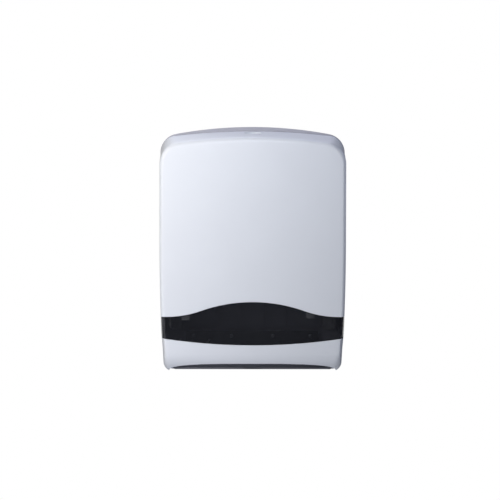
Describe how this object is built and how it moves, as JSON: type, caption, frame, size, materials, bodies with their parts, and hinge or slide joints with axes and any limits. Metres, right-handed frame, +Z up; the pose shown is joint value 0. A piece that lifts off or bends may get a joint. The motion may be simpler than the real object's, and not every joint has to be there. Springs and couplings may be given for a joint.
{
  "type": "folded paper dispenser",
  "caption": "Wall-mounted folded-paper dispenser with an arched white cover that swings down, a smoked wave window, an outlet tray and a cam lock.",
  "frame": {"origin": "middle of the four wall slots, on the wall face of the back plate", "axes": "+Y points into the wall, so the front faces -Y; +Z is up; +X is to the right of someone facing the front"},
  "size_m": [0.28, 0.1215, 0.363],
  "materials": {
    "white_cover": "satin moulded",
    "grey_plate": "fine texture",
    "dark_tray": "fine texture",
    "smoked_window": "polished, smoked",
    "light_clip": "moulded",
    "pale_guide": "moulded",
    "plated_steel": "zinc plated",
    "lock_chrome": "satin chrome"
  },
  "bodies": {
    "wall_unit": {"back_plate": "grey_plate", "outlet_tray": "dark_tray", "tray_screws": "plated_steel", "paper_guide_left": "pale_guide", "paper_guide_right": "pale_guide", "guide_screws": "plated_steel", "lock_keeper": "plated_steel", "keeper_screws": "plated_steel", "hinge_pin_left": "plated_steel", "hinge_pin_right": "plated_steel"},
    "cover": {"front_cover": "white_cover", "window_lens": "smoked_window", "window_clips": "light_clip", "lock_body": "lock_chrome", "lock_nut": "plated_steel"},
    "lock": {"lock_barrel": "lock_chrome", "lock_cam": "plated_steel", "cam_washer": "plated_steel", "cam_screw": "plated_steel"}
  },
  "joints": [
    {"name": "cover_hinge", "type": "hinge", "parent": "wall_unit", "child": "cover", "pos_m": [0, -0.024, -0.1725], "axis": [1, 0, 0], "range_deg": [0, 95]},
    {"name": "lock_turn", "type": "hinge", "parent": "cover", "child": "lock", "pos_m": [0, -0.046, 0.15], "axis": [0, 0, 1], "range_deg": [0, 90]}
  ]
}
